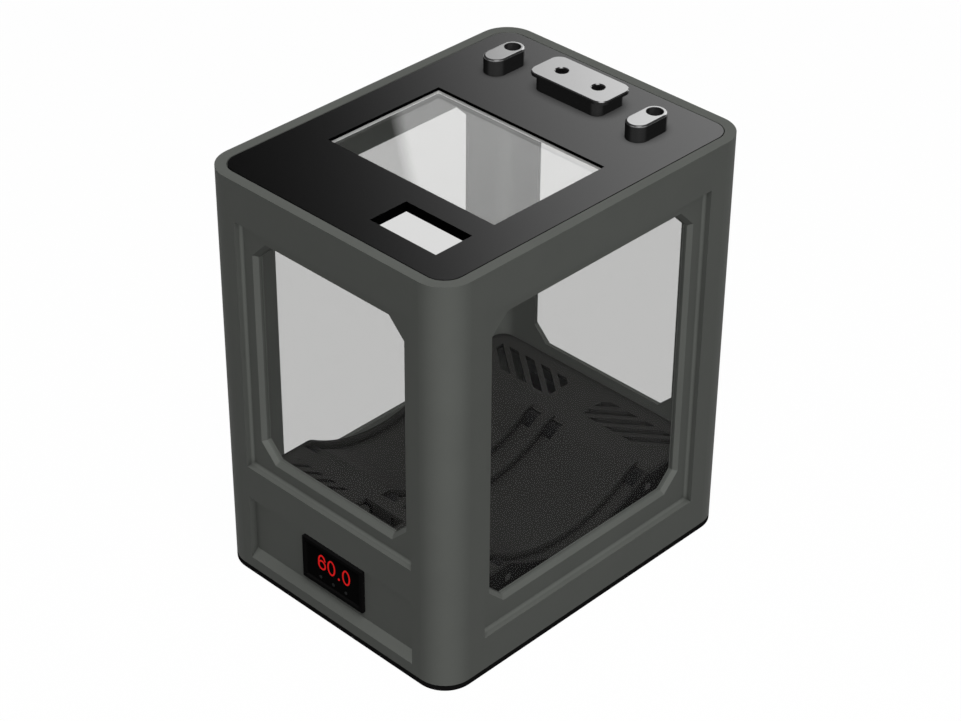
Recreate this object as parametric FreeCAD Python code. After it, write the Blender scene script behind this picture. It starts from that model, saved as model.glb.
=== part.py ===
"""Filament dryer box: a windowed housing over a heated base, a roller tray for two spools and a lift-off lid.

Millimetres, +Z up, the front faces -Y. The origin is the centre of the underside of the base plate.
"""
import FreeCAD
import Part
import math
import os

Vec = FreeCAD.Vector
os.makedirs("parts", exist_ok=True)

# Housing
body_width = 195.5
body_depth = 250.0
body_height = 280.0
corner_radius = 20.0
wall = 10.4
base_thickness = 3.8

# Panels and windows in the walls
recess_depth = 5.0
recess_fillet = 2.0
recess_margin = 8.7
window_bevel = 2.5
window_corner = 10.5
window_top = 241.8
front_window_width = 118.6
front_window_bottom = 92.2
rear_window_bottom = 66.0
side_window_width = 162.4
side_window_bottom = 43.9
side_recess_drop = 5.3
pane_thickness = 2.0
pane_gap = 0.1

# Control recess and thermostat
control_bottom = 11.3
control_top = 58.0
case_width = 51.6
case_height = 30.6
case_z = 36.8
bezel_thickness = 2.6
bezel_border = 2.4
case_body_width = 49.4
case_body_height = 28.4
case_length = 21.6
case_wall = 2.0
case_gap = 0.3
lens_setback = 1.6
lens_thickness = 1.2
board_thickness = 1.6
digit_height = 11.0
digit_width = 6.7
digit_stroke = 1.05
digit_pitch = 8.2
digit_middle = 0.36
point_space = 4.7
digit_z = 39.0
digit_relief = 0.2
button_diameter = 2.4
button_pitch = 11.0
button_x = -0.4
button_z = 27.6
button_collar = 0.6
button_stop = 0.2
switch_room = 2.0
button_proud = 0.4
button_travel = 0.5
button_gap = 0.3

# Lid
lid_thickness = 6.5
rim_width = 6.8
lid_gap = 0.7
lid_window_width = 132.6
lid_window_front = -55.5
lid_window_back = 33.7
lid_pane_setback = 1.8
lid_pane_thickness = 4.7
cutout_width = 51.0
cutout_depth = 27.7
cutout_right_gap = 24.55
cutout_front_gap = 17.9

# Handle and filament outlets on the lid
handle_back_gap = 18.35
handle_width = 60.0
handle_depth = 28.4
handle_corner = 7.0
handle_height = 11.5
handle_plate = 2.4
handle_round = 0.6
handle_block_width = 52.0
handle_block_depth = 25.8
handle_screw_pitch = 29.0
countersink_diameter = 9.0
handle_screw_diameter = 4.0
handle_screw_key = 3.2
screw_sink = 0.6
screw_gap = 0.1
outlet_side_gap = 26.0
outlet_back_gap = 23.0
outlet_pitch = 14.5
outlet_radius = 7.5
outlet_height = 11.0
outlet_round = 1.2
outlet_bore = 10.6

# Spool tray
tray_gap = 0.45
deck_height = 59.0
deck_thickness = 3.0
cradle_radius = 104.4
cradle_bottom = 40.5
cradle_round = 10.0
groove_depth = 5.0
groove_width = 10.8
groove_skin = 3.0
middle_rib = 7.4
tray_lip = 2.7
tray_foot_half = 98.0
pocket_wall = 2.7
slot_left = -18.6
slot_right = 14.5
slot_front = -84.4
slot_back = -76.0
tongue_x = -12.0
tongue_radius = 3.5

# Deck vents: slanted slots inside a rectangle, mirrored left and right
vent_angle = 38.3
vent_inner_x = 14.5
vent_side_gap = 10.4
vent_edge_gap = 10.95
rear_vent_length = 22.7
rear_vent_pitch = 14.3
rear_vent_slot = 8.2
front_vent_inner_x = 31.5
front_vent_length = 24.7
front_vent_pitch = 10.8
front_vent_slot = 4.4
vent_count = 5

# Rollers
roller_y = 62.1
roller_z = 50.0
roller_diameter = 13.0
roller_side_gap = 0.4
roller_bore_gap = 0.08
pin_diameter = 5.0
pocket_gap = 0.9

# Heater, fan, sensor and power jack
duct_thickness = 1.5
duct_length = 48.0
duct_gap = 1.8
core_gap = 6.5
fan_size = 35.0
fan_thickness = 10.0
fan_opening = 32.6
fan_hub_diameter = 18.0
fan_blades = 7
fan_tip_gap = 0.8
fan_shaft_diameter = 2.0
fan_shaft_gap = 0.05
fan_seat = 1.0
fan_hub_plate = 1.5
fan_strut = 2.0
fan_rotor_gap = 0.5
fan_blade = 1.2
fan_blade_chord = 10.0
fan_blade_pitch = 40.0
heater_length = 24.0
heater_width = 28.0
heater_height = 31.0
heater_bar = 4.0
fin_thickness = 1.0
fin_count = 7
sensor_diameter = 5.0
sensor_length = 22.0
sensor_gap = 5.6
jack_x = 50.0
jack_z = 25.0
jack_panel = 4.0
jack_access = 24.0
jack_thread = 11.0
jack_flange = 15.0
jack_flange_thickness = 2.0
jack_length = 22.0
jack_thread_length = 12.0
jack_socket = 6.4
jack_socket_depth = 8.0
jack_pin = 2.0
nut_across = 14.0
nut_thickness = 2.5
wire_diameter = 3.2
wire_stub = 10.0
wire_bend = 8.0
wire_run = 45.0

# Base screws
boss_radius = 6.0
boss_inset = 5.0
boss_height = 15.5
base_screw_diameter = 3.4
base_screw_head = 8.0
base_screw_length = 13.0
base_screw_key = 3.0
duct_screw_diameter = 3.0
duct_screw_head = 5.5
duct_screw_rise = 1.8
duct_screw_skin = 0.5

half_w = body_width / 2
half_d = body_depth / 2
inner_w = half_w - wall
inner_d = half_d - wall
inner_radius = corner_radius - wall
lid_bottom = body_height - lid_thickness
cradle_axis = cradle_bottom + cradle_radius
groove_radius = cradle_radius + groove_depth
roller_radius = roller_diameter / 2
pin_radius = pin_diameter / 2
tray_half_w = inner_w - tray_gap
tray_half_d = inner_d - tray_gap
inner_groove_x = (middle_rib + groove_width) / 2
outer_groove_x = tray_half_w - tray_lip - groove_width / 2
front_floor = recess_depth - half_d
side_axis = Vec(1, 0, 0)
inward = Vec(0, 1, 0)
up = Vec(0, 0, 1)


def save(name, shape):
    """Write one piece as a STEP file."""
    shape.exportStep("parts/" + name + ".step")


def box(x0, x1, y0, y1, z0, z1):
    """A block between two corners."""
    return Part.makeBox(x1 - x0, y1 - y0, z1 - z0, Vec(x0, y0, z0))


def rod(radius, start, axis, length):
    """A cylinder from a start point along a unit axis."""
    return Part.makeCylinder(radius, length, start, axis)


def plate(width, depth, radius, z0, z1, y=0.0):
    """A flat plate centred on x = 0 with rounded vertical corners."""
    solid = box(-width / 2, width / 2, y - depth / 2, y + depth / 2, z0, z1)
    uprights = [e for e in solid.Edges if abs(e.Curve.Direction.z) > 0.9]
    return solid.makeFillet(radius, uprights)


def prism(points, direction):
    """A straight extrusion of a closed polygon."""
    return Part.Face(Part.makePolygon(points + points[:1])).extrude(direction)


def hexagon(centre, across, right, over):
    """The corners of a regular hexagon of a given width across its corners."""
    turns = [k * math.pi / 3 for k in range(6)]
    return [centre + right * (across / 2 * math.cos(a)) + over * (across / 2 * math.sin(a)) for a in turns]


def mirrored(shape):
    """The same shape on the other side of the x = 0 plane."""
    return shape.mirror(Vec(0, 0, 0), Vec(1, 0, 0))


def window_points(width, bottom, grow, y):
    """Corners of a window outline with cut corners, grown outward, in the plane y."""
    half = width / 2 + grow
    low = bottom - grow
    high = window_top + grow
    cut = window_corner + grow * (2 - math.sqrt(2))
    return [
        Vec(-half + cut, y, low), Vec(half - cut, y, low), Vec(half, y, low + cut),
        Vec(half, y, high - cut), Vec(half - cut, y, high), Vec(-half + cut, y, high),
        Vec(-half, y, high - cut), Vec(-half, y, low + cut),
    ]


def wall_cutter(width, bottom, drop, face):
    """Panel, bevel and opening cut into a wall whose outside is the plane y = -face."""
    floor = recess_depth - face
    side = width / 2 + window_bevel + recess_margin
    low = bottom - window_bevel - recess_margin - drop
    high = window_top + window_bevel + recess_margin
    panel = box(-side, side, -face - 1, floor, low, high)
    deep = [e for e in panel.Edges if all(abs(v.Y - floor) < 1e-6 for v in e.Vertexes)]
    panel = panel.makeFillet(recess_fillet, deep)
    outer = window_points(width, bottom, window_bevel, floor)
    inner = window_points(width, bottom, 0, floor + window_bevel)
    bevel = Part.makeLoft([Part.makePolygon(ring + ring[:1]) for ring in (outer, inner)], True, True)
    opening = prism(window_points(width, bottom, 0, floor), Vec(0, wall, 0))
    return panel.fuse([bevel, opening])


def pane(width, bottom, face):
    """A flat pane let into a window, flush with the inside of the wall."""
    back = wall - face
    return prism(window_points(width, bottom, -pane_gap, back - pane_thickness), Vec(0, pane_thickness, 0))


def turned(shape, angle):
    """A copy turned about the vertical axis."""
    copy = shape.copy()
    copy.rotate(Vec(0, 0, 0), Vec(0, 0, 1), angle)
    return copy


# Windows: name, turn, width, bottom, extra panel drop, distance of the wall from the axis
windows = [
    ("front", 0, front_window_width, front_window_bottom, 0.0, half_d),
    ("right", 90, side_window_width, side_window_bottom, side_recess_drop, half_w),
    ("rear", 180, front_window_width, rear_window_bottom, 0.0, half_d),
    ("left", 270, side_window_width, side_window_bottom, side_recess_drop, half_w),
]

# Housing shell with the rebate that carries the lid
seat_w = half_w - rim_width
seat_d = half_d - rim_width
seat_radius = corner_radius - rim_width
housing = plate(body_width, body_depth, corner_radius, base_thickness, body_height)
housing = housing.cut(plate(2 * inner_w, 2 * inner_d, inner_radius, 0, body_height + 1))
housing = housing.cut(plate(2 * seat_w, 2 * seat_d, seat_radius, lid_bottom, body_height + 1))

# Corner bosses for the base screws
boss_x = inner_w - boss_inset
boss_y = inner_d - boss_inset
corners = [(sx * boss_x, sy * boss_y) for sx in (-1, 1) for sy in (-1, 1)]
for x, y in corners:
    housing = housing.fuse(rod(boss_radius, Vec(x, y, base_thickness), up, boss_height))
for x, y in corners:
    housing = housing.cut(rod(base_screw_diameter / 2, Vec(x, y, 0), up, base_thickness + base_screw_length))

# Windows and panes
for name, turn, width, bottom, drop, face in windows:
    housing = housing.cut(turned(wall_cutter(width, bottom, drop, face), turn))
    save("pane_" + name, turned(pane(width, bottom, face), turn))

# Control recess with a sloped sill, and the hole for the thermostat
control_half = front_window_width / 2 + window_bevel + recess_margin
housing = housing.cut(prism([
    Vec(-control_half, -half_d - 1, control_bottom - 1),
    Vec(-control_half, front_floor, control_bottom + recess_depth),
    Vec(-control_half, front_floor, control_top),
    Vec(-control_half, -half_d - 1, control_top),
], Vec(2 * control_half, 0, 0)))
hole_half_w = case_body_width / 2 + case_gap
hole_half_h = case_body_height / 2 + case_gap
housing = housing.cut(box(
    -hole_half_w, hole_half_w, -half_d, -inner_d + 1, case_z - hole_half_h, case_z + hole_half_h))

# Power jack seat in the rear wall
jack_seat = inner_d + jack_panel
housing = housing.cut(rod(jack_access / 2, Vec(jack_x, jack_seat, jack_z), Vec(0, 1, 0), wall))
housing = housing.cut(rod(jack_thread / 2, Vec(jack_x, inner_d - 1, jack_z), Vec(0, 1, 0), wall))
save("housing", housing)

# Base plate and its countersunk screws
base = plate(body_width, body_depth, corner_radius, 0, base_thickness)
head_drop = base_screw_head / 2 - base_screw_diameter / 2
screws = []
for x, y in corners:
    head = Part.makeCone(base_screw_head / 2, base_screw_diameter / 2, head_drop, Vec(x, y, 0), up)
    shank = rod(base_screw_diameter / 2, Vec(x, y, 0), up, base_thickness + base_screw_length)
    screw = head.fuse(shank)
    base = base.cut(screw)
    socket = prism(hexagon(Vec(x, y, 0), base_screw_key, side_axis, inward), up * (0.6 * head_drop))
    screws.append(screw.cut(socket))
save("base_screws", Part.makeCompound(screws))

# Lid with its window and cut-out
lid_half_w = seat_w - lid_gap
lid_half_d = seat_d - lid_gap
cutout_x = lid_half_w - cutout_right_gap - cutout_width / 2
cutout_y = cutout_front_gap + cutout_depth / 2 - lid_half_d
lid = plate(2 * lid_half_w, 2 * lid_half_d, seat_radius - lid_gap, lid_bottom, body_height)
window_half = lid_window_width / 2
pane_top = body_height - lid_pane_setback
lid = lid.cut(box(
    -window_half, window_half, lid_window_front, lid_window_back, lid_bottom - 1, body_height + 1))
save("lid_pane", box(
    pane_gap - window_half, window_half - pane_gap, lid_window_front + pane_gap, lid_window_back - pane_gap,
    pane_top - lid_pane_thickness, pane_top))
lid = lid.cut(box(
    cutout_x - cutout_width / 2, cutout_x + cutout_width / 2, cutout_y - cutout_depth / 2,
    cutout_y + cutout_depth / 2, lid_bottom - 1, body_height + 1))

# Handle: a block with an overhanging top plate, held by two countersunk screws
handle_y = lid_half_d - handle_back_gap - handle_depth / 2
handle_top = body_height + handle_height
grip = plate(handle_width, handle_depth, handle_corner, handle_top - handle_plate, handle_top, handle_y)
rim = [e for e in grip.Edges if all(abs(v.Z - handle_top) < 1e-6 for v in e.Vertexes)]
grip = grip.makeChamfer(handle_round, rim)
block_inset = (handle_depth - handle_block_depth) / 2
block = plate(
    handle_block_width, handle_block_depth, handle_corner - block_inset, body_height,
    handle_top - handle_plate, handle_y)
handle = block.fuse(grip)
screw_radius = handle_screw_diameter / 2
sink_radius = countersink_diameter / 2
handle_screws = []
for x in (-handle_screw_pitch / 2, handle_screw_pitch / 2):
    clear = screw_radius + screw_gap
    sink = sink_radius - clear
    cone = Part.makeCone(clear, sink_radius, sink, Vec(x, handle_y, handle_top - sink), up)
    shaft = rod(clear, Vec(x, handle_y, lid_bottom), up, handle_top - lid_bottom)
    handle = handle.cut(cone.fuse(shaft))
    head = cone.cut(box(-body_width, body_width, 0, body_depth, handle_top - screw_sink, handle_top + 1))
    shank = rod(screw_radius, Vec(x, handle_y, lid_bottom), up, handle_top - screw_sink - lid_bottom)
    lid = lid.cut(rod(screw_radius, Vec(x, handle_y, lid_bottom), up, lid_thickness))
    depth = sink * 0.6
    bottom = Vec(x, handle_y, handle_top - screw_sink - depth)
    socket = prism(hexagon(bottom, handle_screw_key, side_axis, inward), up * depth)
    handle_screws.append(head.fuse(shank).cut(socket))
save("handle", handle)
save("handle_screws", Part.makeCompound(handle_screws))

# Filament outlets: pill-shaped bosses bored through with the lid
outlet_x = lid_half_w - outlet_side_gap - outlet_radius
outlet_back = lid_half_d - outlet_back_gap - outlet_radius
outlet_front = outlet_back - outlet_pitch
outlet_top = body_height + outlet_height
outlet = box(
    outlet_x - outlet_radius, outlet_x + outlet_radius, outlet_front, outlet_back, body_height, outlet_top)
for y in (outlet_front, outlet_back):
    outlet = outlet.fuse(rod(outlet_radius, Vec(outlet_x, y, body_height), up, outlet_height))
outlet = outlet.removeSplitter()
rim = [e for e in outlet.Edges if all(abs(v.Z - outlet_top) < 1e-6 for v in e.Vertexes)]
outlet = outlet.makeFillet(outlet_round, rim)
bore = rod(outlet_bore / 2, Vec(outlet_x, outlet_back, lid_bottom - 1), up, lid_thickness + outlet_height + 2)
outlet = outlet.cut(bore)
save("outlet_right", outlet)
save("outlet_left", mirrored(outlet))
lid = lid.cut(bore).cut(mirrored(bore))
save("lid", lid)

# Spool tray: deck and cradle share one profile, rounded where they meet
round_z = deck_height - cradle_round
round_y = math.sqrt((cradle_radius + cradle_round) ** 2 - (cradle_axis - round_z) ** 2)
share = cradle_radius / (cradle_radius + cradle_round)
meet_y = round_y * share
meet_z = cradle_axis + (round_z - cradle_axis) * share
lean = math.atan2(meet_z - round_z, meet_y - round_y)
mid_angle = (lean + math.pi / 2) / 2
mid_y = round_y + cradle_round * math.cos(mid_angle)
mid_z = round_z + cradle_round * math.sin(mid_angle)


def tray_section(lower):
    """Closed tray section in the plane x = -tray_half_w above the given lower edges."""
    x = -tray_half_w
    top = [
        Part.makeLine(Vec(x, -tray_half_d, deck_height), Vec(x, -round_y, deck_height)),
        Part.Arc(Vec(x, -round_y, deck_height), Vec(x, -mid_y, mid_z), Vec(x, -meet_y, meet_z)).toShape(),
        Part.Arc(Vec(x, -meet_y, meet_z), Vec(x, 0, cradle_bottom), Vec(x, meet_y, meet_z)).toShape(),
        Part.Arc(Vec(x, meet_y, meet_z), Vec(x, mid_y, mid_z), Vec(x, round_y, deck_height)).toShape(),
        Part.makeLine(Vec(x, round_y, deck_height), Vec(x, tray_half_d, deck_height)),
    ]
    return Part.Face(Part.Wire(top + lower)).extrude(Vec(2 * tray_half_w, 0, 0))


x = -tray_half_w
deck_under = deck_height - deck_thickness
skin_radius = groove_radius + groove_skin
skin_y = math.sqrt(skin_radius ** 2 - (cradle_axis - deck_under) ** 2)
skin = tray_section([
    Part.makeLine(Vec(x, tray_half_d, deck_height), Vec(x, tray_half_d, deck_under)),
    Part.makeLine(Vec(x, tray_half_d, deck_under), Vec(x, skin_y, deck_under)),
    Part.Arc(
        Vec(x, skin_y, deck_under), Vec(x, 0, cradle_axis - skin_radius),
        Vec(x, -skin_y, deck_under)).toShape(),
    Part.makeLine(Vec(x, -skin_y, deck_under), Vec(x, -tray_half_d, deck_under)),
    Part.makeLine(Vec(x, -tray_half_d, deck_under), Vec(x, -tray_half_d, deck_height)),
])
block = tray_section([
    Part.makeLine(Vec(x, tray_half_d, deck_height), Vec(x, tray_half_d, base_thickness)),
    Part.makeLine(Vec(x, tray_half_d, base_thickness), Vec(x, -tray_half_d, base_thickness)),
    Part.makeLine(Vec(x, -tray_half_d, base_thickness), Vec(x, -tray_half_d, deck_height)),
])
groove_half = groove_width / 2
outer_edge = outer_groove_x + groove_half
foot = block.common(box(outer_edge, tray_half_w, -tray_foot_half, tray_foot_half, 0, deck_height))
pocket_radius = roller_radius + pocket_gap
cheek = groove_half + pocket_wall
reach = pocket_radius + pocket_wall
lumps = [foot, mirrored(foot)]
for x, side in ((inner_groove_x, cheek), (outer_groove_x, tray_half_w - outer_groove_x)):
    for sy in (-1, 1):
        lump = block.common(box(
            x - cheek, x + side, sy * roller_y - reach, sy * roller_y + reach, roller_z - reach, deck_height))
        lumps += [lump, mirrored(lump)]
tray = skin.fuse(lumps)

# Grooves, roller pockets, pins and rollers
groove_list = [("left_outer", -outer_groove_x), ("left_inner", -inner_groove_x),
               ("right_inner", inner_groove_x), ("right_outer", outer_groove_x)]
roller_half = groove_half - roller_side_gap
pins = []
cuts = []
for name, x in groove_list:
    cuts.append(rod(groove_radius, Vec(x - groove_half, 0, cradle_axis), side_axis, groove_width))
    left = -tray_half_w if name == "left_outer" else x - cheek
    right = tray_half_w if name == "right_outer" else x + cheek
    for end, y in (("front", -roller_y), ("rear", roller_y)):
        cuts.append(rod(pocket_radius, Vec(x - groove_half, y, roller_z), side_axis, groove_width))
        pin = rod(pin_radius, Vec(left, y, roller_z), side_axis, right - left)
        cuts.append(pin)
        pins.append(pin)
        end_face = Vec(x - roller_half, y, roller_z)
        roller = rod(roller_radius, end_face, side_axis, 2 * roller_half)
        bore = rod(pin_radius + roller_bore_gap, end_face, side_axis, 2 * roller_half)
        save("roller_" + name + "_" + end, roller.cut(bore))
save("roller_pins", Part.makeCompound(pins))


vent_outer_x = tray_half_w - vent_side_gap


def vent_group(inner_x, length, pitch, slot, first):
    """Slanted slots for the left half of the deck, in a field that starts at the margin of the rear edge."""
    far = tray_half_d - vent_edge_gap
    near = far - length
    run = (far - near + 20) / math.tan(math.radians(vent_angle))
    field = box(-vent_outer_x, -inner_x, near, far, deck_under - 1, deck_height + 1)
    slots = []
    for k in range(vent_count):
        x0 = first + k * pitch - 10 / math.tan(math.radians(vent_angle))
        slots.append(prism([
            Vec(x0, far + 10, deck_under - 1), Vec(x0 + slot, far + 10, deck_under - 1),
            Vec(x0 + slot + run, near - 10, deck_under - 1), Vec(x0 + run, near - 10, deck_under - 1),
        ], Vec(0, 0, deck_thickness + 2)).common(field))
    return slots


rear_first = -vent_outer_x - rear_vent_slot * 1.05
rear_slots = vent_group(vent_inner_x, rear_vent_length, rear_vent_pitch, rear_vent_slot, rear_first)
slant = front_vent_length / math.tan(math.radians(vent_angle))
front_first = -front_vent_inner_x - slant - front_vent_slot - (vent_count - 1) * front_vent_pitch
front_slots = [s.mirror(Vec(0, 0, 0), Vec(0, 1, 0)) for s in vent_group(
    front_vent_inner_x, front_vent_length, front_vent_pitch, front_vent_slot, front_first)]
vents = rear_slots + front_slots
cuts += vents + [mirrored(v) for v in vents]
cuts.append(box(slot_left, slot_right, slot_front, slot_back, deck_under - 1, deck_height + 1))
tray = tray.cut(cuts)
tongue = rod(tongue_radius, Vec(tongue_x, slot_front, deck_under), up, deck_thickness)
tray = tray.fuse(tongue)
tray = tray.common(plate(2 * tray_half_w, 2 * tray_half_d, inner_radius - tray_gap, 0, deck_height + 1))
save("tray", tray.removeSplitter())

# Thermostat: case, lens, digits, buttons and board
bezel_face = front_floor - bezel_thickness
lens_face = bezel_face + lens_setback
lens_back = lens_face + lens_thickness
case_back = front_floor + case_length - bezel_thickness
case = box(
    -case_width / 2, case_width / 2, bezel_face, front_floor, case_z - case_height / 2,
    case_z + case_height / 2)
case = case.fuse(box(
    -case_body_width / 2, case_body_width / 2, front_floor, case_back, case_z - case_body_height / 2,
    case_z + case_body_height / 2))
screen_w = case_width / 2 - bezel_border
screen_h = case_height / 2 - bezel_border
case = case.cut(box(-screen_w, screen_w, bezel_face - 1, lens_back, case_z - screen_h, case_z + screen_h))
cavity_w = case_body_width / 2 - case_wall
cavity_h = case_body_height / 2 - case_wall
board_face = lens_back + button_travel + switch_room
board_back = board_face + board_thickness
case = case.cut(box(-cavity_w, cavity_w, lens_back - 1, board_back, case_z - cavity_h, case_z + cavity_h))
case = case.cut(box(
    case_wall - cavity_w, cavity_w - case_wall, board_back - 1, case_back - case_wall,
    case_z - cavity_h + case_wall, case_z + cavity_h - case_wall))
save("display_case", case)
save("control_board", box(
    case_gap - cavity_w, cavity_w - case_gap, board_face, board_back, case_z - cavity_h + case_gap,
    case_z + cavity_h - case_gap))
lens = box(
    pane_gap - screen_w, screen_w - pane_gap, lens_face, lens_back, case_z - screen_h + pane_gap,
    case_z + screen_h - pane_gap)
button_radius = button_diameter / 2
collar_radius = button_radius + 2 * button_gap
for name, place in (("left", -1), ("middle", 0), ("right", 1)):
    x = button_x + place * button_pitch
    start = Vec(x, lens_face - button_proud, button_z)
    lens = lens.cut(rod(button_radius + button_gap, start, inward, lens_thickness + button_proud + 1))
    collar = rod(collar_radius, Vec(x, lens_back + button_gap, button_z), inward, button_collar)
    stem = rod(button_radius, start, inward, board_face - button_travel - button_stop - start.y)
    save("button_" + name, stem.fuse(collar))
save("display_lens", lens)


def oval(half_width, half_height, x, z):
    """An upright oval plate standing on the lens."""
    curve = Part.Ellipse(Vec(0, 0, 0), max(half_height, half_width), min(half_height, half_width))
    face = Part.Face(Part.Wire(curve.toShape()))
    face.rotate(Vec(0, 0, 0), Vec(0, 0, 1), 90 if half_height > half_width else 0)
    face.rotate(Vec(0, 0, 0), Vec(1, 0, 0), 90)
    face.translate(Vec(x, lens_face, z))
    return face.extrude(Vec(0, -digit_relief, 0))


def oval_ring(half_width, half_height, x, z):
    """An oval outline of one stroke width."""
    return oval(half_width, half_height, x, z).cut(
        oval(half_width - digit_stroke, half_height - digit_stroke, x, z))


tall = digit_height / 2
wide = digit_width / 2
six_x = digit_middle - 1.3 * digit_pitch
zero_x = six_x + digit_pitch
last_x = zero_x + digit_pitch + point_space
bowl = 0.32 * digit_height
bowl_z = digit_z - tall + bowl
keep = box(six_x - digit_width, six_x, -half_d, 0, bowl_z, digit_z + tall)
keep = keep.fuse(box(six_x - 1, six_x + digit_width, -half_d, 0, digit_z + 0.3 * tall, digit_z + tall))
six = oval_ring(wide, tall, six_x, digit_z).common(keep).fuse(oval_ring(wide, bowl, six_x, bowl_z))
dot_r = 0.72 * digit_stroke
dot_x = (zero_x + last_x) / 2
dot = rod(dot_r, Vec(dot_x, lens_face - digit_relief, digit_z - tall + dot_r), inward, digit_relief)
save("display_digits", Part.makeCompound([
    six, oval_ring(wide, tall, zero_x, digit_z), dot, oval_ring(wide, tall, last_x, digit_z),
]))

# Heater duct with the fan and the heater core, screwed to the base plate
duct_right = -inner_groove_x - cheek - case_gap
duct_left = duct_right - duct_length
duct_floor = base_thickness + duct_thickness
duct_half = fan_size / 2 + case_gap
heater_y = inner_d - duct_gap - duct_thickness - duct_half
duct_reach = duct_half + duct_thickness
duct = box(
    duct_left, duct_right, heater_y - duct_reach, heater_y + duct_reach, base_thickness,
    duct_floor + fan_size)
duct = duct.cut(box(
    duct_left, duct_right, heater_y - duct_half, heater_y + duct_half, duct_floor, body_height))
fan_right = duct_right - fan_seat
fan_left = fan_right - fan_thickness
core_right = fan_left - core_gap
core_left = core_right - heater_length
core_low = heater_y - heater_width / 2
core = box(core_left, core_right, core_low, core_low + heater_width, duct_floor, duct_floor + heater_bar)
core = core.fuse(core.translated(Vec(0, 0, heater_height - heater_bar)))
for k in range(fin_count):
    y = core_low + k * (heater_width - fin_thickness) / (fin_count - 1)
    core = core.fuse(box(core_left, core_right, y, y + fin_thickness, duct_floor, duct_floor + heater_height))
save("heater_core", core)

axis_z = duct_floor + fan_size / 2
hub_radius = fan_hub_diameter / 2
fan_half = fan_size / 2
frame = box(
    fan_left, fan_right, heater_y - fan_half, heater_y + fan_half, duct_floor, duct_floor + fan_size)
frame = frame.cut(rod(fan_opening / 2, Vec(fan_left, heater_y, axis_z), side_axis, fan_thickness))
hub_face = Vec(fan_right - fan_hub_plate, heater_y, axis_z)
frame = frame.fuse(rod(hub_radius, hub_face, side_axis, fan_hub_plate))
for k in range(3):
    strut = box(
        hub_face.x, fan_right, heater_y - fan_strut / 2, heater_y + fan_strut / 2,
        axis_z + hub_radius - fan_strut, axis_z + fan_opening / 2 + fan_strut / 4)
    strut.rotate(Vec(0, heater_y, axis_z), side_axis, 120 * k)
    frame = frame.fuse(strut)
shaft_radius = fan_shaft_diameter / 2
frame = frame.cut(rod(shaft_radius + fan_shaft_gap, hub_face, side_axis, fan_hub_plate))
save("fan_frame", frame)
rotor_right = hub_face.x - fan_rotor_gap
rotor_left = fan_left + fan_rotor_gap
rotor = rod(hub_radius, Vec(rotor_left, heater_y, axis_z), side_axis, rotor_right - rotor_left)
rotor = rotor.fuse(rod(
    shaft_radius, Vec(rotor_right, heater_y, axis_z), side_axis, fan_hub_plate + fan_rotor_gap))
tip = fan_opening / 2 - fan_tip_gap
blade_mid = (rotor_left + rotor_right) / 2
sweep = rod(tip, Vec(rotor_left, heater_y, axis_z), side_axis, rotor_right - rotor_left)
for k in range(fan_blades):
    blade = box(
        blade_mid - fan_blade_chord / 2, blade_mid + fan_blade_chord / 2, heater_y - fan_blade / 2,
        heater_y + fan_blade / 2, axis_z + hub_radius - fan_blade, axis_z + tip + fan_blade)
    blade.rotate(Vec(blade_mid, heater_y, axis_z), up, fan_blade_pitch)
    blade.rotate(Vec(0, heater_y, axis_z), side_axis, 360 * k / fan_blades)
    rotor = rotor.fuse(blade.common(sweep))
save("fan_rotor", rotor)

duct_screws = []
for x in (core_right + core_gap / 2, core_left - core_gap / 2):
    for y in (heater_y - fan_size / 4, heater_y + fan_size / 4):
        head = rod(duct_screw_head / 2, Vec(x, y, duct_floor), up, duct_screw_rise)
        stem = rod(duct_screw_diameter / 2, Vec(x, y, duct_screw_skin), up, duct_floor - duct_screw_skin)
        screw = head.fuse(stem)
        duct = duct.cut(stem)
        base = base.cut(stem)
        duct_screws.append(screw)
save("duct_screws", Part.makeCompound(duct_screws))
save("base_plate", base)

# Temperature sensor under the deck, beside the cable slot
sensor_radius = sensor_diameter / 2
sensor_y = slot_front - sensor_gap
sensor_z = deck_under - sensor_radius
sensor = rod(sensor_radius, Vec(slot_left - sensor_length, sensor_y, sensor_z), side_axis, sensor_length)
save("temperature_sensor", sensor.fuse(Part.makeSphere(
    sensor_radius, Vec(slot_left - sensor_length, sensor_y, sensor_z))))

# Power jack and its nut
thread_radius = jack_thread / 2
jack_end = jack_seat + jack_flange_thickness - jack_length
thread_end = jack_seat - jack_thread_length
socket_end = Vec(jack_x, jack_seat - jack_socket_depth, jack_z)
jack = rod(jack_flange / 2, Vec(jack_x, jack_seat, jack_z), inward, jack_flange_thickness)
jack = jack.fuse(rod(thread_radius, Vec(jack_x, thread_end, jack_z), inward, jack_thread_length))
jack = jack.fuse(rod(thread_radius - 1, Vec(jack_x, jack_end, jack_z), inward, jack_length - 1))
jack = jack.cut(rod(jack_socket / 2, socket_end, inward, jack_socket_depth + 2 * jack_flange_thickness))
jack = jack.fuse(rod(jack_pin / 2, socket_end, inward, jack_socket_depth + jack_flange_thickness / 4))
save("power_jack", jack)
nut_face = Vec(jack_x, inner_d - nut_thickness, jack_z)
nut = prism(hexagon(nut_face, 2 * nut_across / math.sqrt(3), side_axis, up), inward * nut_thickness)
nut = nut.cut(rod(thread_radius, nut_face, inward, nut_thickness))
save("jack_nut", nut)


def cable(points):
    """A round cable on a smooth curve that starts and ends along the first and last legs of the path."""
    curve = Part.BSplineCurve()
    curve.buildFromPoles(points)
    ring = Part.Wire(Part.makeCircle(wire_diameter / 2, points[0], points[1] - points[0]))
    return Part.Wire(curve.toShape()).makePipe(Part.Face(ring))


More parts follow.
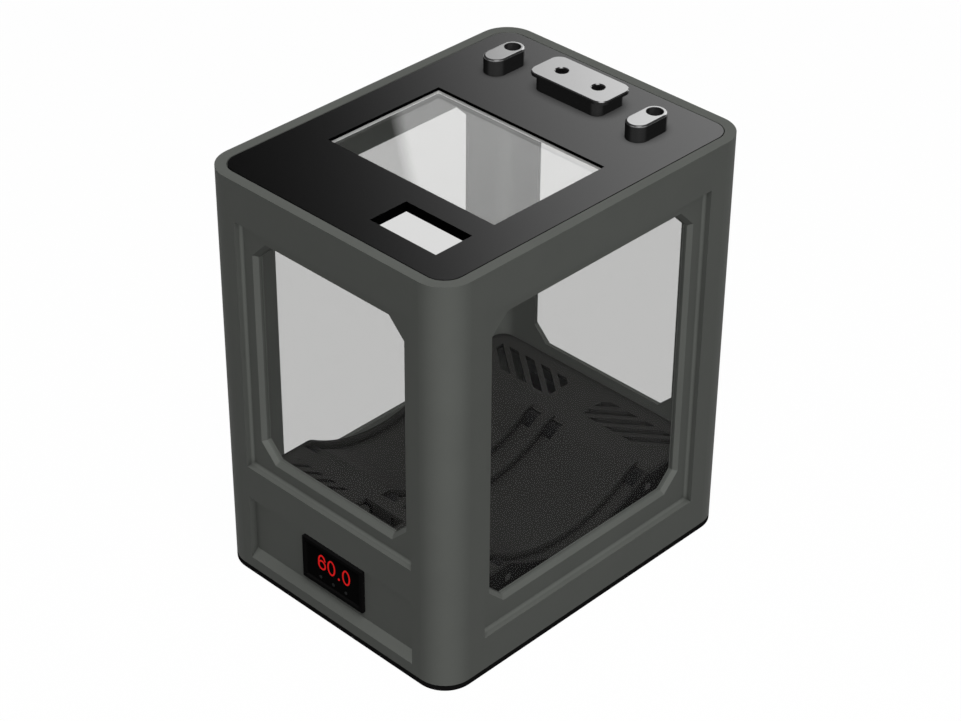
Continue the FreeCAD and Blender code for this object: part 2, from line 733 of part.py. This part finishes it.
# Wiring: jack to thermostat, thermostat to heater, sensor to thermostat
lay = base_thickness + wire_diameter
heater_wire_x = (core_left + core_right) / 2
duct_side = heater_y - duct_reach
heater_wire_z = duct_floor + heater_bar / 2
duct_hole = rod(
    wire_diameter / 2 + case_gap, Vec(heater_wire_x, duct_side, heater_wire_z), inward, duct_thickness)
save("heater_duct", duct.cut(duct_hole))
plug_x = 0.6 * cavity_w
plug_z = case_z - wire_diameter
turn = wire_stub + wire_bend
supply = [
    Vec(jack_x, jack_end, jack_z), Vec(jack_x, jack_end - wire_stub, jack_z),
    Vec(jack_x, jack_end - turn, lay), Vec(jack_x, wire_run, lay), Vec(jack_x, -wire_run, lay),
    Vec(2 * plug_x, case_back + turn, lay), Vec(plug_x, case_back + turn, plug_z),
    Vec(plug_x, case_back + wire_stub, plug_z), Vec(plug_x, case_back, plug_z),
]
heater_lead = [
    Vec(-plug_x, case_back, plug_z), Vec(-plug_x, case_back + wire_stub, plug_z),
    Vec(-plug_x, case_back + turn, plug_z), Vec(-2 * plug_x, case_back + turn, lay),
    Vec(heater_wire_x, -wire_run, lay), Vec(heater_wire_x, wire_run, lay),
    Vec(heater_wire_x, duct_side - wire_stub, heater_wire_z), Vec(heater_wire_x, core_low, heater_wire_z),
]
lead_z = case_z + wire_diameter
sensor_lead = [
    Vec(slot_left, sensor_y, sensor_z), Vec(slot_left + wire_bend, sensor_y, sensor_z),
    Vec(0, sensor_y, sensor_z - wire_diameter), Vec(0, case_back + wire_bend, lead_z),
    Vec(0, case_back, lead_z),
]
save("wiring", Part.makeCompound([cable(path) for path in (supply, heater_lead, sensor_lead)]))
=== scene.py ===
# %% [markdown]
# # A filament dryer box
# A tall grey box with four tinted windows stands on a thin black base plate. A dark tray with two pairs
# of grooves carries the spools on rollers, a glossy black lid lies flush in the rim, and a small
# thermostat looks out of a recess at the front. The CAD model already holds the true shape of every
# rigid part, so this lesson loads it as a fixed frame, gives each surface its finish and adds the fine
# pieces that a solid modeller leaves out.

# %% Load the frame
import math

import bpy
import numpy as np
from mathutils import Matrix, Vector


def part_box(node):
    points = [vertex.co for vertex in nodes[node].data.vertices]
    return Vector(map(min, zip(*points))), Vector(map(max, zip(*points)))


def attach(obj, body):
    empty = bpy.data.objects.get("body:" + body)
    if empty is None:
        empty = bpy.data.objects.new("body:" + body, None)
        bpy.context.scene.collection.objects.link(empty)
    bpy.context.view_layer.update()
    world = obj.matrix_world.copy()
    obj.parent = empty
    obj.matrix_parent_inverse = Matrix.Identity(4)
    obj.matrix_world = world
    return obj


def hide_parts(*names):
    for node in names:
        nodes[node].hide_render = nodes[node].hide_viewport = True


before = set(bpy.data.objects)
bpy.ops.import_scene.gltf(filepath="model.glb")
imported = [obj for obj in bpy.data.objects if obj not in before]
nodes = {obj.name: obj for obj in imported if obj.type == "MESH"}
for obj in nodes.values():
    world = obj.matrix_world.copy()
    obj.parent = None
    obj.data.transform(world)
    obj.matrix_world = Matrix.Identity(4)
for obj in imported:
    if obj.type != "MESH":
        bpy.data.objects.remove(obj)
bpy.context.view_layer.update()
scene = bpy.context.scene
scene.view_settings.view_transform = "Standard"
MM = 0.001

# %% [markdown]
# The photograph looks down on the corner between the front and the right side. Its straight edges fix
# the view: the azimuth is counted from the front, and the small roll and pan are what the fit left over.
# The camera's three axes are worked out from these angles, which is easier to check than Euler angles.

# %% Camera at the photograph's view
view_azimuth = math.radians(44.107)
view_elevation = math.radians(34.392)
view_roll = math.radians(0.500)
view_distance = 1.530387
view_pan = (-0.002074, 0.006729)
view_target = Vector((0.0, 0.0, 0.140))
view_lens = 95.264

to_camera = Vector((math.sin(view_azimuth) * math.cos(view_elevation),
                    -math.cos(view_azimuth) * math.cos(view_elevation),
                    math.sin(view_elevation)))
level_right = Vector((math.cos(view_azimuth), math.sin(view_azimuth), 0.0))
level_up = to_camera.cross(level_right)
camera_right = math.cos(view_roll) * level_right + math.sin(view_roll) * level_up
camera_up = math.cos(view_roll) * level_up - math.sin(view_roll) * level_right
camera_place = (view_target - view_pan[0] * camera_right - view_pan[1] * camera_up
                + view_distance * to_camera)

camera_data = bpy.data.cameras.new("photo_view")
camera_data.lens = view_lens
camera_data.sensor_width = 36.0
camera = bpy.data.objects.new("photo_view", camera_data)
scene.collection.objects.link(camera)
camera_axes = Matrix((camera_right, camera_up, to_camera)).transposed().to_4x4()
camera.matrix_world = Matrix.Translation(camera_place) @ camera_axes
scene.camera = camera
print("camera at", [round(v, 4) for v in camera_place])


# %% [markdown]
# Materials are small graphs of shader nodes. Two helpers keep them readable: one makes a node and sets
# or links its inputs, the other starts a material with its Principled shader.

# %% Helpers for shader nodes
def shader_node(tree, kind, inputs=None, **settings):
    """Adds a node to a tree. An input is either a plain value or the output socket that feeds it."""
    made = tree.nodes.new(kind)
    for name, value in settings.items():
        setattr(made, name, value)
    for key, value in (inputs or {}).items():
        socket = made.inputs[key]
        if isinstance(value, bpy.types.NodeSocket):
            tree.links.new(value, socket)
        else:
            socket.default_value = value
    return made


def new_material(name):
    """An empty node material with its output, returned as (material, tree, output node)."""
    material = bpy.data.materials.new(name)
    material.use_nodes = True
    tree = material.node_tree
    tree.nodes.clear()
    return material, tree, tree.nodes.new("ShaderNodeOutputMaterial")


def object_coords(tree):
    """The Object coordinates, which are the shared frame in metres for every piece."""
    return tree.nodes.new("ShaderNodeTexCoord").outputs["Object"]


# %% [markdown]
# The object stands on white in the photograph. The floor is a wide pale sheet: the camera, mirrors and
# glass see it mostly as plain white, and a share of real diffuse shading keeps a soft shadow. Light that
# bounces off it meets a darker sheet, so that the walls don't glow from below.

# %% Floor
floor_half = 6.0
floor_white_share = 0.97
floor_pale = (0.94, 0.94, 0.94, 1.0)
floor_bounce = (0.05, 0.05, 0.05, 1.0)

floor_mesh = bpy.data.meshes.new("floor")
floor_corners = [(-floor_half, -floor_half, 0), (floor_half, -floor_half, 0),
                 (floor_half, floor_half, 0), (-floor_half, floor_half, 0)]
floor_mesh.from_pydata(floor_corners, [], [(0, 1, 2, 3)])
floor = bpy.data.objects.new("floor", floor_mesh)
scene.collection.objects.link(floor)


def math_node(tree, operation, *values):
    """The output of a Math node on plain values or sockets, in order."""
    return shader_node(tree, "ShaderNodeMath", dict(enumerate(values)), operation=operation).outputs[0]


def seen_directly(tree):
    """1 for rays of the camera, of mirrors and through glass, 0 for rays that only carry light."""
    path = tree.nodes.new("ShaderNodeLightPath")
    mirrored = math_node(tree, "MAXIMUM", path.outputs["Is Camera Ray"], path.outputs["Is Glossy Ray"])
    return math_node(tree, "MAXIMUM", mirrored, path.outputs["Is Transmission Ray"])


floor_material, tree, out = new_material("floor_white")
path = tree.nodes.new("ShaderNodeLightPath")
pale = shader_node(tree, "ShaderNodeMix", {0: path.outputs["Is Diffuse Ray"], 6: floor_pale, 7: floor_bounce},
                   data_type="RGBA")
sheet = shader_node(tree, "ShaderNodeBsdfDiffuse", {"Color": pale.outputs[2]})
glow = shader_node(tree, "ShaderNodeEmission", {"Color": (1, 1, 1, 1), "Strength": 1.0})
share = math_node(tree, "MULTIPLY", seen_directly(tree), floor_white_share)
mixed = shader_node(tree, "ShaderNodeMixShader", {0: share, 1: sheet.outputs[0], 2: glow.outputs[0]})
tree.links.new(mixed.outputs[0], out.inputs["Surface"])
floor_mesh.materials.append(floor_material)
print("floor is", 2 * floor_half, "m wide")


# %% [markdown]
# One large softbox above the camera's right shoulder gives the modelling. Mirrors don't see the lamp
# itself, because a softbox this size would burn out every rounded edge of the metal. They see a softer
# patch in its place, drawn in the world below. The shell, the panes and the lid with all that it carries
# don't block this lamp, so the tray is lit as if it stood in the open and the inside can be seen through
# the tinted windows. A low lamp on the far side is kept to three outer pieces and lights their rear and
# left faces, for views from behind.

# %% Softboxes
def direction(azimuth, elevation):
    """Unit vector towards an azimuth, counted from the front, and an elevation, both in degrees."""
    a, e = math.radians(azimuth), math.radians(elevation)
    return Vector((math.sin(a) * math.cos(e), -math.cos(a) * math.cos(e), math.sin(e)))


key_direction = direction(54.8, 54.7)
key_size = 4.5
key_power = 239.0
back_direction = direction(225.0, 5.0)
back_size = 1.2
back_power = 90.0
lamp_distance = 4.0
see_past = ("housing", "lid", "pane", "handle", "outlet")
outer_pieces = ("housing", "base_plate", "power_jack")


def softbox(name, towards, size, power):
    """A square lamp that faces the middle of the object. The camera, mirrors and glass don't see it."""
    lamp = bpy.data.lights.new(name, "AREA")
    lamp.size = size
    lamp.energy = power
    box = bpy.data.objects.new(name, lamp)
    turn = towards.to_track_quat("Z", "Y").to_matrix().to_4x4()
    box.matrix_world = Matrix.Translation(view_target + lamp_distance * towards) @ turn
    box.visible_camera = False
    box.visible_glossy = False
    box.visible_transmission = False
    scene.collection.objects.link(box)
    return box


key = softbox("key", key_direction, key_size, key_power)
back = softbox("back", back_direction, back_size, back_power)
key_blockers = bpy.data.collections.new("key_blockers")
for name, node in nodes.items():
    if not name.startswith(see_past):
        key_blockers.objects.link(node)
key.light_linking.blocker_collection = key_blockers
back_receivers = bpy.data.collections.new("back_receivers")
for name in outer_pieces:
    back_receivers.objects.link(nodes[name])
back.light_linking.receiver_collection = back_receivers
print("key lamp at", [round(v, 2) for v in key.matrix_world.translation])

# %% [markdown]
# The lid, its pane and its metal parts mirror the far side of the studio: a bright panel with a straight
# upright edge on its left. The panel is drawn in the world, where only mirrors see it. Its left edge, top,
# foot and right end are fades, each between two distances of a direction from a plane through the middle of
# the scene. A perfectly sharp mirror, such as the pane, sees the panel evenly lit. A satin one sees it
# brighten away from the edge and upwards. A second panel stands behind the camera, for views from the other
# side.

# %% World
fill_level = 0.06
sharp_panel = 1.75
satin_panel = 0.92
satin_glow = 1.16
near_panel = 0.9
key_patch = 1.8
dark_level = 0.02
panel_left = Vector((0.607, 0.775, -0.175))
panel_right = Vector((-0.985, 0.174, 0.0))
downward = Vector((0.0, 0.0, -1.0))
near_direction = direction(44.0, 0.0)
satin_edge = (-0.01, 0.05)
sharp_edge = (-0.003, 0.003)
panel_top = (-0.70, -0.60)
panel_foot = (-0.10, -0.25)
panel_end = (-0.1, 0.1)
glow_rise = (0.02, 0.14)
upward_rise = (-0.46, -0.53)
upward_share = (0.97, 1.12)
near_edge = (0.1, 0.5)
near_top = (-0.75, -0.60)
patch_edge = (0.90, 0.99)

world = bpy.data.worlds.new("studio")
world.use_nodes = True
scene.world = world
tree = world.node_tree
tree.nodes.clear()
out = tree.nodes.new("ShaderNodeOutputWorld")
heading = tree.nodes.new("ShaderNodeTexCoord").outputs["Generated"]
path = tree.nodes.new("ShaderNodeLightPath")


def beyond(normal, fade_from, fade_to):
    """Fades from 0 to 1 as the heading's distance from a plane goes from one value to the other."""
    distance = shader_node(tree, "ShaderNodeVectorMath", {0: heading, 1: normal}, operation="DOT_PRODUCT")
    return shader_node(tree, "ShaderNodeMapRange", {"Value": distance.outputs["Value"], "From Min": fade_from,
                                                    "From Max": fade_to}).outputs[0]


def either(choice, first, second):
    """The first value where choice is 0, the second where it is 1."""
    return shader_node(tree, "ShaderNodeMix", {0: choice, 2: first, 3: second}, data_type="FLOAT").outputs[0]


sharp = path.outputs["Is Singular Ray"]
left_edge = either(sharp, beyond(panel_left, *satin_edge), beyond(panel_left, *sharp_edge))
inside = math_node(tree, "MULTIPLY", left_edge, beyond(downward, *panel_top))
inside = math_node(tree, "MULTIPLY", inside, beyond(panel_right, *panel_end))
inside = math_node(tree, "MULTIPLY", inside, beyond(downward, *panel_foot))
satin = math_node(tree, "MULTIPLY_ADD", beyond(panel_left, *glow_rise), satin_glow, satin_panel)
satin = math_node(tree, "MULTIPLY", satin, either(beyond(downward, *upward_rise), *upward_share))
far = math_node(tree, "MULTIPLY", inside, either(sharp, satin, sharp_panel))
near = math_node(tree, "MULTIPLY", beyond(near_direction, *near_edge), beyond(downward, *near_top))
far = math_node(tree, "MULTIPLY_ADD", near, near_panel, far)
patch = math_node(tree, "MULTIPLY_ADD", beyond(key_direction, *patch_edge), key_patch, dark_level)
mirrored = math_node(tree, "ADD", far, patch)
shown = either(path.outputs["Is Glossy Ray"], 1.0, mirrored)
level = either(seen_directly(tree), fill_level, shown)
sky = shader_node(tree, "ShaderNodeBackground", {"Color": (1, 1, 1, 1), "Strength": level})
tree.links.new(sky.outputs[0], out.inputs["Surface"])
print("world ready")


# %% [markdown]
# Most of the box is moulded or printed plastic. Its colour and gloss drift slowly over the surface, and a
# fine grain breaks up the light. Both come from one node group, so that every plastic shares the pattern
# and only changes its scale.

# %% Grain shared by the finishes
def grain_group():
    """Node group: fine moulded grain as a height, and a slow mottling as a value from 0 to 1."""
    group = bpy.data.node_groups.new("moulded_grain", "ShaderNodeTree")
    for name, kind, way in (("Coords", "Vector", "INPUT"), ("Grain size", "Float", "INPUT"),
                            ("Mottle size", "Float", "INPUT"), ("Height", "Float", "OUTPUT"),
                            ("Mottle", "Float", "OUTPUT")):
        group.interface.new_socket(name, in_out=way, socket_type="NodeSocket" + kind)
    start = group.nodes.new("NodeGroupInput").outputs
    end = group.nodes.new("NodeGroupOutput").inputs
    for size, detail, result in (("Grain size", 3.0, "Height"), ("Mottle size", 4.0, "Mottle")):
        scale = math_node(group, "DIVIDE", 1.0, start[size])
        noise = shader_node(group, "ShaderNodeTexNoise", {"Vector": start["Coords"], "Scale": scale,
                                                          "Detail": detail, "Roughness": 0.55})
        group.links.new(noise.outputs["Fac"], end[result])
    return group


GRAIN = grain_group()
mottle_size = 0.05
noise_span = (0.3, 0.7)
rough_drift = 0.07
side_shade_span = (0.3, 0.9)
# The ambient occlusion that paints shade into inner corners: its rays and the span it maps.
crease_rays = 16
crease_span = (0.4, 0.8)
level_limit = 0.7
lacquer_ior = 1.44


def mapped(tree, value, span, low, high):
    """A value carried from the span to the range from low to high, and held there beyond its ends."""
    return shader_node(tree, "ShaderNodeMapRange", {"Value": value, "From Min": span[0], "From Max": span[1],
                                                    "To Min": low, "To Max": high}).outputs[0]


def times(tree, colour, share):
    """A colour multiplied by the value of a socket."""
    return shader_node(tree, "ShaderNodeMix", {0: 1.0, 6: colour, 7: share}, data_type="RGBA",
                       blend_type="MULTIPLY").outputs[2]


def grain_field(tree, grain, mottle):
    """The outputs of the grain group at a grain size and a mottle size in metres."""
    field = shader_node(tree, "ShaderNodeGroup", {}, node_tree=GRAIN)
    tree.links.new(object_coords(tree), field.inputs["Coords"])
    field.inputs["Grain size"].default_value = grain
    field.inputs["Mottle size"].default_value = mottle
    return field.outputs


def facing(tree):
    """The X, Y and Z of the surface normal in the shared frame."""
    normal = tree.nodes.new("ShaderNodeTexCoord").outputs["Normal"]
    return shader_node(tree, "ShaderNodeSeparateXYZ", {0: normal}).outputs


def moulded(name, colour, rough, grain, relief, mottle=0.05, specular=0.5, metallic=0.0, gloss=None,
            crease_shade=None, reach=0.006, alone=True, corner_highlight=0.0, upright=None):
    """A moulded, cast or turned surface: colour and roughness drift, and the grain gives relief in metres.
    With gloss, only the level faces are lacquered, with a clear coat of that roughness. With crease_shade,
    inner corners keep only that share of the colour and coat, over that reach, counting the piece alone or
    with its
    neighbours: this is painted shade from an ambient occlusion node. With corner_highlight, round vertical
    corners are painted lighter by that share, a painted highlight, as 2 |nx ny| of the normal n, which is 0
    on a flat wall and 1 in the middle of a round corner. With upright, faces that don't look up keep only
    that share of the colour, a painted shade on the sides."""
    material, tree, out = new_material(name)
    field = grain_field(tree, grain, mottle_size)
    drift = field["Mottle"]
    tint = times(tree, (*colour, 1.0), mapped(tree, drift, noise_span, 1.0 - mottle, 1.0 + mottle))
    # Painted highlight: round vertical corners are made lighter.
    if corner_highlight:
        normal = facing(tree)
        corner_lift = math_node(tree, "ABSOLUTE", math_node(tree, "MULTIPLY", normal["X"], normal["Y"]))
        tint = times(tree, tint, math_node(tree, "MULTIPLY_ADD", corner_lift, 2 * corner_highlight, 1.0))
    # Painted shade: faces that don't look up are made darker.
    if upright is not None:
        tint = times(tree, tint, mapped(tree, facing(tree)["Z"], side_shade_span, upright, 1.0))
    # Painted shade: an ambient occlusion node darkens inner corners.
    if crease_shade is not None:
        open_share = shader_node(tree, "ShaderNodeAmbientOcclusion", {"Distance": reach}, samples=crease_rays,
                                 only_local=alone)
        shade = mapped(tree, open_share.outputs["AO"], crease_span, crease_shade, 1.0)
        tint = times(tree, tint, shade)
    bump = shader_node(tree, "ShaderNodeBump", {"Height": field["Height"], "Distance": relief})
    uneven = mapped(tree, drift, noise_span, rough * (1.0 - rough_drift), rough * (1.0 + rough_drift))
    body = shader_node(tree, "ShaderNodeBsdfPrincipled", {
        "Base Color": tint, "Roughness": uneven, "Normal": bump.outputs[0], "Metallic": metallic,
        "Specular IOR Level": specular})
    if gloss is not None:
        level = math_node(tree, "ABSOLUTE", facing(tree)["Z"])
        lacquer = math_node(tree, "GREATER_THAN", level, level_limit)
        # The same painted shade thins the lacquer coat in inner corners, around the handle and outlets on the
        # lid.
        if crease_shade is not None:
            lacquer = math_node(tree, "MULTIPLY", lacquer, shade)
        tree.links.new(lacquer, body.inputs["Coat Weight"])
        body.inputs["Coat Roughness"].default_value = gloss
        body.inputs["Coat IOR"].default_value = lacquer_ior
    tree.links.new(body.outputs[0], out.inputs["Surface"])
    return material


# %% [markdown]
# The windows are tinted acrylic. A glass shader gives the eye its mirror and its tint. Light that only
# passes through on its way to a lamp or the room meets a plain see-through shader instead, because a
# glass shader would stop it and the inside would stay black.

# %% Glass and lit strokes
def tinted_pane(name, tint, ior, haze):
    """Clear sheet: a glass shader for the eye, and plain see-through for light that only passes. The haze
    is the share of the light that the sheet scatters."""
    material, tree, out = new_material(name)
    sheet = shader_node(tree, "ShaderNodeBsdfPrincipled", {
        "Base Color": (*tint, 1.0), "Roughness": 0.0, "IOR": ior, "Transmission Weight": 1.0 - haze})
    clear = shader_node(tree, "ShaderNodeBsdfTransparent", {"Color": (*[math.sqrt(t) for t in tint], 1.0)})
    path = tree.nodes.new("ShaderNodeLightPath")
    passing = math_node(tree, "MAXIMUM", path.outputs["Is Shadow Ray"], path.outputs["Is Diffuse Ray"])
    mixed = shader_node(tree, "ShaderNodeMixShader", {0: passing, 1: sheet.outputs[0], 2: clear.outputs[0]})
    tree.links.new(mixed.outputs[0], out.inputs["Surface"])
    return material


stroke_grain = 1.0 * MM
stroke_mottle = 4.0 * MM
stroke_range = (0.92, 1.08)
stroke_unlit = (0.02, 0.002, 0.002, 1.0)


def lit_strokes(name, colour):
    """The lit strokes of the display, a little uneven in brightness."""
    material, tree, out = new_material(name)
    drift = grain_field(tree, stroke_grain, stroke_mottle)["Mottle"]
    glow = times(tree, (*colour, 1.0), mapped(tree, drift, noise_span, *stroke_range))
    body = shader_node(tree, "ShaderNodeBsdfPrincipled", {
        "Base Color": stroke_unlit, "Roughness": 0.5, "Specular IOR Level": 0.0,
        "Emission Color": glow, "Emission Strength": 1.0})
    tree.links.new(body.outputs[0], out.inputs["Surface"])
    return material


# %% [markdown]
# The finishes follow the photograph: a warm dark grey housing, a lid of black lacquer, dark polished metal
# for the handle and the filament outlets, and near-black plastic for the tray and the thermostat.

# %% Finishes
warm_grey = (0.104, 0.109, 0.101)
# The housing carries painted shade in its inner corners and a painted highlight on its round vertical
# corners.
housing_grey = moulded("housing_grey", warm_grey, 0.60, 0.0006, 0.00002, specular=0.05, crease_shade=0.60,
                       corner_highlight=0.28)
# The lid's painted shade thins its lacquer around the handle and outlets.
lid_black = moulded("lid_black", (0.001, 0.001, 0.001), 0.50, 0.0008, 0.000001, specular=0.0, gloss=0.20,
                    crease_shade=0.35, reach=0.012, alone=False)
# The tray's painted shade darkens its grooves and its edges near the walls.
tray_black = moulded("tray_black", (0.030, 0.0298, 0.0283), 0.60, 0.0006, 0.00002, specular=0.05,
                     crease_shade=0.15, reach=0.008, alone=False)
# The metal keeps half its colour on faces that don't look up, a painted shade on its sides.
dark_metal = moulded("dark_metal", (0.345, 0.345, 0.345), 0.12, 0.0010, 0.000001, mottle=0.02, metallic=0.92,
                     upright=0.50)
base_black = moulded("base_black", (0.009, 0.009, 0.009), 0.60, 0.0006, 0.00001, specular=0.0)
pane_tint = tinted_pane("pane_tint", (0.712, 0.712, 0.708), 1.05, 0.002)
lid_glass = tinted_pane("lid_glass", (0.77, 0.77, 0.765), 1.50, 0.0)
sawn_edge = moulded("sawn_edge", (0.62, 0.62, 0.61), 0.60, 0.0003, 0.00003, specular=0.1)
sealed_edge = moulded("sealed_edge", warm_grey, 0.70, 0.0003, 0.00003, specular=0.0)
bezel_black = moulded("bezel_black", (0.006, 0.006, 0.006), 0.50, 0.0005, 0.00001, specular=0.0)
lens_black = moulded("lens_black", (0.004, 0.004, 0.004), 0.20, 0.0010, 0.000001, specular=0.0)
button_black = moulded("button_black", (0.004, 0.004, 0.004), 0.45, 0.0004, 0.00001, specular=0.05)
digit_red = lit_strokes("digit_red", (0.52, 0.010, 0.010))
roller_black = moulded("roller_black", (0.010, 0.010, 0.010), 0.55, 0.0004, 0.00001, specular=0.1)
steel = moulded("steel", (0.45, 0.45, 0.44), 0.32, 0.0005, 0.000004, metallic=1.0)
black_steel = moulded("black_steel", (0.03, 0.03, 0.03), 0.35, 0.0005, 0.000004, metallic=1.0)
heater_metal = moulded("heater_metal", (0.72, 0.72, 0.73), 0.40, 0.0005, 0.000006, metallic=1.0)
duct_metal = moulded("duct_metal", (0.55, 0.56, 0.56), 0.35, 0.0005, 0.000004, metallic=1.0)
fan_black = moulded("fan_black", (0.015, 0.015, 0.015), 0.40, 0.0005, 0.00001)
board_green = moulded("board_green", (0.02, 0.10, 0.05), 0.30, 0.0004, 0.00001)
cable_black = moulded("cable_black", (0.012, 0.012, 0.012), 0.45, 0.0004, 0.00001)

# %% Give every CAD node its finish
finish_of = {
    "housing": housing_grey, "base_plate": base_black, "base_screws": black_steel, "lid": lid_black,
    "tray": tray_black, "handle": dark_metal, "handle_screws": bezel_black, "outlet_left": dark_metal,
    "outlet_right": dark_metal, "lid_pane": lid_glass, "display_case": bezel_black,
    "display_lens": lens_black, "display_digits": digit_red, "control_board": board_green,
    "roller_pins": black_steel, "heater_core": heater_metal, "heater_duct": duct_metal, "duct_screws": steel,
    "fan_frame": fan_black, "fan_rotor": fan_black, "power_jack": black_steel, "jack_nut": steel,
    "temperature_sensor": steel, "wiring": cable_black,
}
finish_by_kind = {"pane": pane_tint, "button": button_black, "roller": roller_black}
for name, node in nodes.items():
    finish = finish_of.get(name) or finish_by_kind[name.split("_")[0]]
    node.data.materials.clear()
    node.data.materials.append(finish)
for name in ("handle", "handle_screws", "outlet_left", "outlet_right"):
    nodes[name].visible_glossy = False
print(len(nodes), "nodes have a finish")


# %% [markdown]
# A pane is a flat sheet with its sharp edges taken off. Its faces are polished, and its edges are not: the
# lid pane's saw-cut edge shows as a pale line below the black rim of its opening, while the window panes
# sit in a grey seal. Each pane is four rings of the same outline, drawn in a little at both faces.

# %% Panes
edge_break = 0.3 * MM
window_corner = 10.5 * MM
lid_corner = 0.5 * MM


def put_mesh(name, points, faces, materials):
    """A new object at the origin from corner points and faces."""
    mesh = bpy.data.meshes.new(name)
    mesh.from_pydata(points.tolist(), [], faces)
    for material in materials:
        mesh.materials.append(material)
    piece = bpy.data.objects.new(name, mesh)
    scene.collection.objects.link(piece)
    return piece


def cut_outline(half_a, half_b, cut):
    """The eight corners of a rectangle about the origin with its corners cut at 45 degrees."""
    return np.array([(half_a - cut, -half_b), (half_a, cut - half_b), (half_a, half_b - cut),
                     (half_a - cut, half_b), (cut - half_a, half_b), (-half_a, half_b - cut),
                     (-half_a, cut - half_b), (cut - half_a, -half_b)])


def pane_sheet(node_name, thin, corner, faces_finish, edge_finish):
    """A sheet in a node's box, thin along one axis. Ring k is the outline drawn in by s(k) at the level
    z(k), with s = (b, 0, 0, b) and z = (-t, b - t, t - b, t) for a half thickness t and an edge break b."""
    low, high = (np.array(corner_point) for corner_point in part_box(node_name))
    half = (high - low) / 2
    across, along = [axis for axis in range(3) if axis != thin]
    drawn_in = edge_break * np.array([1, 0, 0, 1])
    levels = np.array([-half[thin], edge_break - half[thin], half[thin] - edge_break, half[thin]])
    rings = np.empty((4, 8, 3))
    for ring, inset, height in zip(rings, drawn_in, levels):
        cut = corner - inset * (2 - math.sqrt(2))
        ring[:, [across, along]] = cut_outline(half[across] - inset, half[along] - inset, cut)
        ring[:, thin] = height
    ring_of, spot = (grid.ravel() for grid in np.meshgrid(np.arange(3), np.arange(8), indexing="ij"))
    following = (spot + 1) % 8
    sides = np.stack([8 * ring_of + spot, 8 * ring_of + following, 8 * ring_of + 8 + following,
                      8 * ring_of + 8 + spot], axis=1)
    faces = [list(range(7, -1, -1)), list(range(24, 32))] + sides.tolist()
    if thin == 1:
        faces = [face[::-1] for face in faces]
    piece = put_mesh(node_name + "_sheet", rings.reshape(-1, 3) + (low + high) / 2, faces,
                     [faces_finish, edge_finish])
    piece.data.polygons.foreach_set("material_index", [0, 0] + [1] * len(sides))
    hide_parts(node_name)
    return piece


for name, thin in (("pane_front", 1), ("pane_rear", 1), ("pane_left", 0), ("pane_right", 0)):
    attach(pane_sheet(name, thin, window_corner, pane_tint, sealed_edge), "base")
lid_sheet = pane_sheet("lid_pane", 2, lid_corner, lid_glass, sawn_edge)
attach(lid_sheet, "lid")
print("lid pane is", round(lid_sheet.dimensions.z / MM, 2), "mm thick")

# %% [markdown]
# The spools turn on eight small rollers. A real one is turned or moulded: a crowned tread with rounded
# shoulders, a dished face on each side and a hub around the pin. That is one closed profile, carried
# round the pin's axis.

# %% Rollers
roller_steps = 96
bore_radius = 2.58 * MM
hub_radius = 3.7 * MM
lead_in = 0.3 * MM
dish_depth = 0.7 * MM
rim_radius = 5.2 * MM
shoulder = 0.5 * MM
crown = 0.12 * MM
sharp_from = math.radians(35)


def roller_profile(half, radius):
    """Half of the closed profile as (place along the pin, radius), from the bore's middle outwards to the
    middle of the tread. The shoulder is a quarter circle, and the tread falls by the crown at its ends."""
    turn = np.linspace(0, math.pi / 2, 5)
    round_shoulder = np.stack([half - shoulder + shoulder * np.cos(turn),
                               radius - crown - shoulder + shoulder * np.sin(turn)], axis=1)
    face = np.array([(half - lead_in, bore_radius), (half, bore_radius + lead_in), (half, hub_radius),
                     (half - dish_depth, hub_radius + lead_in), (half - dish_depth, rim_radius - lead_in),
                     (half, rim_radius)])
    place = np.linspace(half - shoulder, 0, 6)[1:-1]
    tread = np.stack([place, radius - crown * (place / (half - shoulder)) ** 2], axis=1)
    return np.concatenate([face, round_shoulder, tread])


def turned_roller(node_name):
    """The profile and its mirror image, carried round the node's axis, which runs along X."""
    low, high = (np.array(corner_point) for corner_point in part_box(node_name))
    half = roller_profile((high[0] - low[0]) / 2, (high[2] - low[2]) / 2)
    profile = np.concatenate([half, half[::-1] * (-1, 1)])
    angle = np.linspace(0, 2 * math.pi, roller_steps, endpoint=False)
    around = np.broadcast_to(profile[:, None, 1], (len(profile), roller_steps))
    points = np.stack([np.broadcast_to(profile[:, None, 0], around.shape), around * np.cos(angle),
                       around * np.sin(angle)], axis=2) + (low + high) / 2
    row, step = np.indices(around.shape)
    below, after = (row + 1) % len(profile), (step + 1) % roller_steps
    corners = [row * roller_steps + step, row * roller_steps + after, below * roller_steps + after,
               below * roller_steps + step]
    faces = np.stack(corners, axis=2).reshape(-1, 4)
    piece = put_mesh(node_name + "_turned", points.reshape(-1, 3), faces.tolist(), [roller_black])
    piece.data.polygons.foreach_set("use_smooth", [True] * len(faces))
    piece.data.set_sharp_from_angle(angle=sharp_from)
    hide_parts(node_name)
    return piece


rollers = [name for name in nodes if name.startswith("roller_") and name != "roller_pins"]
for name in rollers:
    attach(turned_roller(name), name)
print(len(rollers), "rollers turned")
